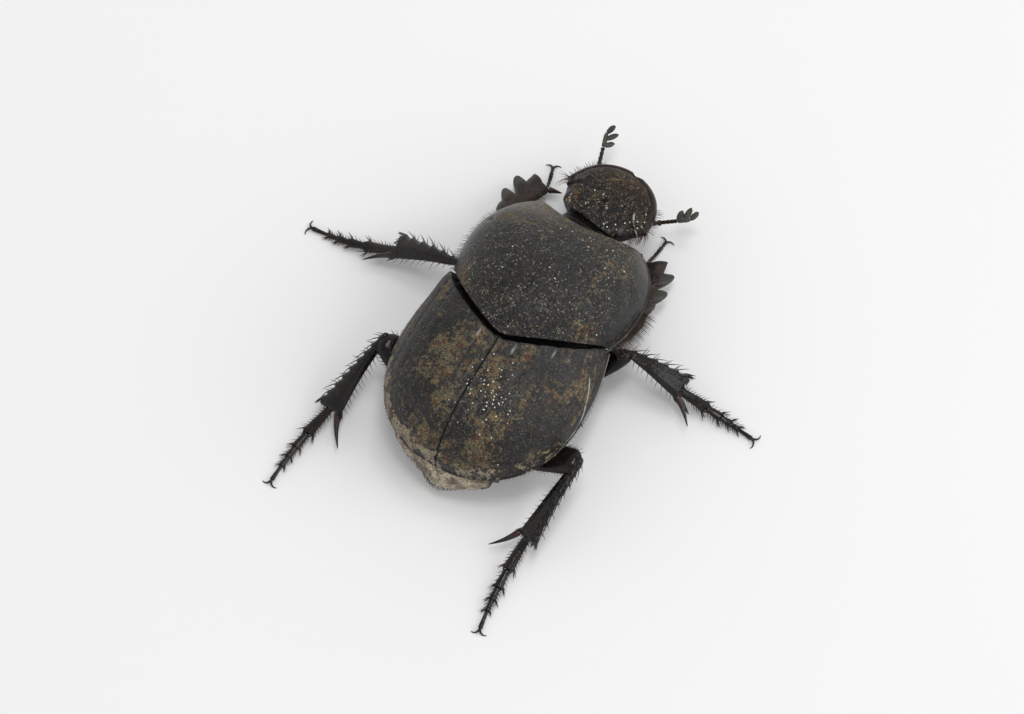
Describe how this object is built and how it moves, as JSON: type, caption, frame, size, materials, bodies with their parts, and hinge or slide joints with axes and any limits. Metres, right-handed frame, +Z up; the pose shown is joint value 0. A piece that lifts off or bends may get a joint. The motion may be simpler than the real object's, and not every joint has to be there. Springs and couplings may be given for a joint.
{
  "type": "dung beetle",
  "caption": "Life-size museum model of a hornless dung beetle standing with spread legs, turned head, opened antennal clubs and toothed digging fore shins.",
  "frame": {"origin": "centre of the bounding box in plan, at the level of the floor under the feet", "axes": "+Y forward along the body towards the head, +X to the beetle's right, +Z up"},
  "size_m": [0.017, 0.0172, 0.0042],
  "materials": {
    "cuticle": "dull charcoal cuticle, finely grained, with brown soil in the hollows",
    "tail_plate": "dark cuticle under a pale ochre crust of dried soil",
    "leg": "glossy black to dark red-brown cuticle",
    "digging_shin": "dark red-brown cuticle with greyer tooth tips",
    "spur": "glossy red-brown spine",
    "club": "dark grey velvety antennal leaves",
    "membrane": "brown mouthparts",
    "eye": "glossy black faceted eye"
  },
  "bodies": {
    "root": {"abdomen": "cuticle", "antenna_club_left": "club", "antenna_club_right": "club", "antenna_stem_left": "leg", "antenna_stem_right": "leg", "claws_fore_left": "leg", "claws_fore_right": "leg", "claws_hind_left": "leg", "claws_hind_right": "leg", "claws_mid_left": "leg", "claws_mid_right": "leg", "coxa_fore_left": "leg", "coxa_fore_right": "leg", "coxa_hind_left": "leg", "coxa_hind_right": "leg", "coxa_mid_left": "leg", "coxa_mid_right": "leg", "elytron_left": "cuticle", "elytron_right": "cuticle", "eye_left": "eye", "eye_right": "eye", "femur_fore_left": "leg", "femur_fore_right": "leg", "femur_hind_left": "leg", "femur_hind_right": "leg", "femur_mid_left": "leg", "femur_mid_right": "leg", "head": "cuticle", "metathorax": "cuticle", "mouthparts": "membrane", "neck": "cuticle", "pronotum": "cuticle", "prothorax": "cuticle", "pygidium": "tail_plate", "spur_fore_left": "spur", "spur_fore_right": "spur", "spur_hind_left": "spur", "spur_hind_right": "spur", "spur_mid_left": "spur", "spur_mid_left_short": "spur", "spur_mid_right": "spur", "spur_mid_right_short": "spur", "tarsus_fore_left": "leg", "tarsus_fore_right": "leg", "tarsus_hind_left": "leg", "tarsus_hind_right": "leg", "tarsus_mid_left": "leg", "tarsus_mid_right": "leg", "tibia_fore_left": "digging_shin", "tibia_fore_right": "digging_shin", "tibia_hind_left": "leg", "tibia_hind_right": "leg", "tibia_mid_left": "leg", "tibia_mid_right": "leg"}
  },
  "joints": []
}
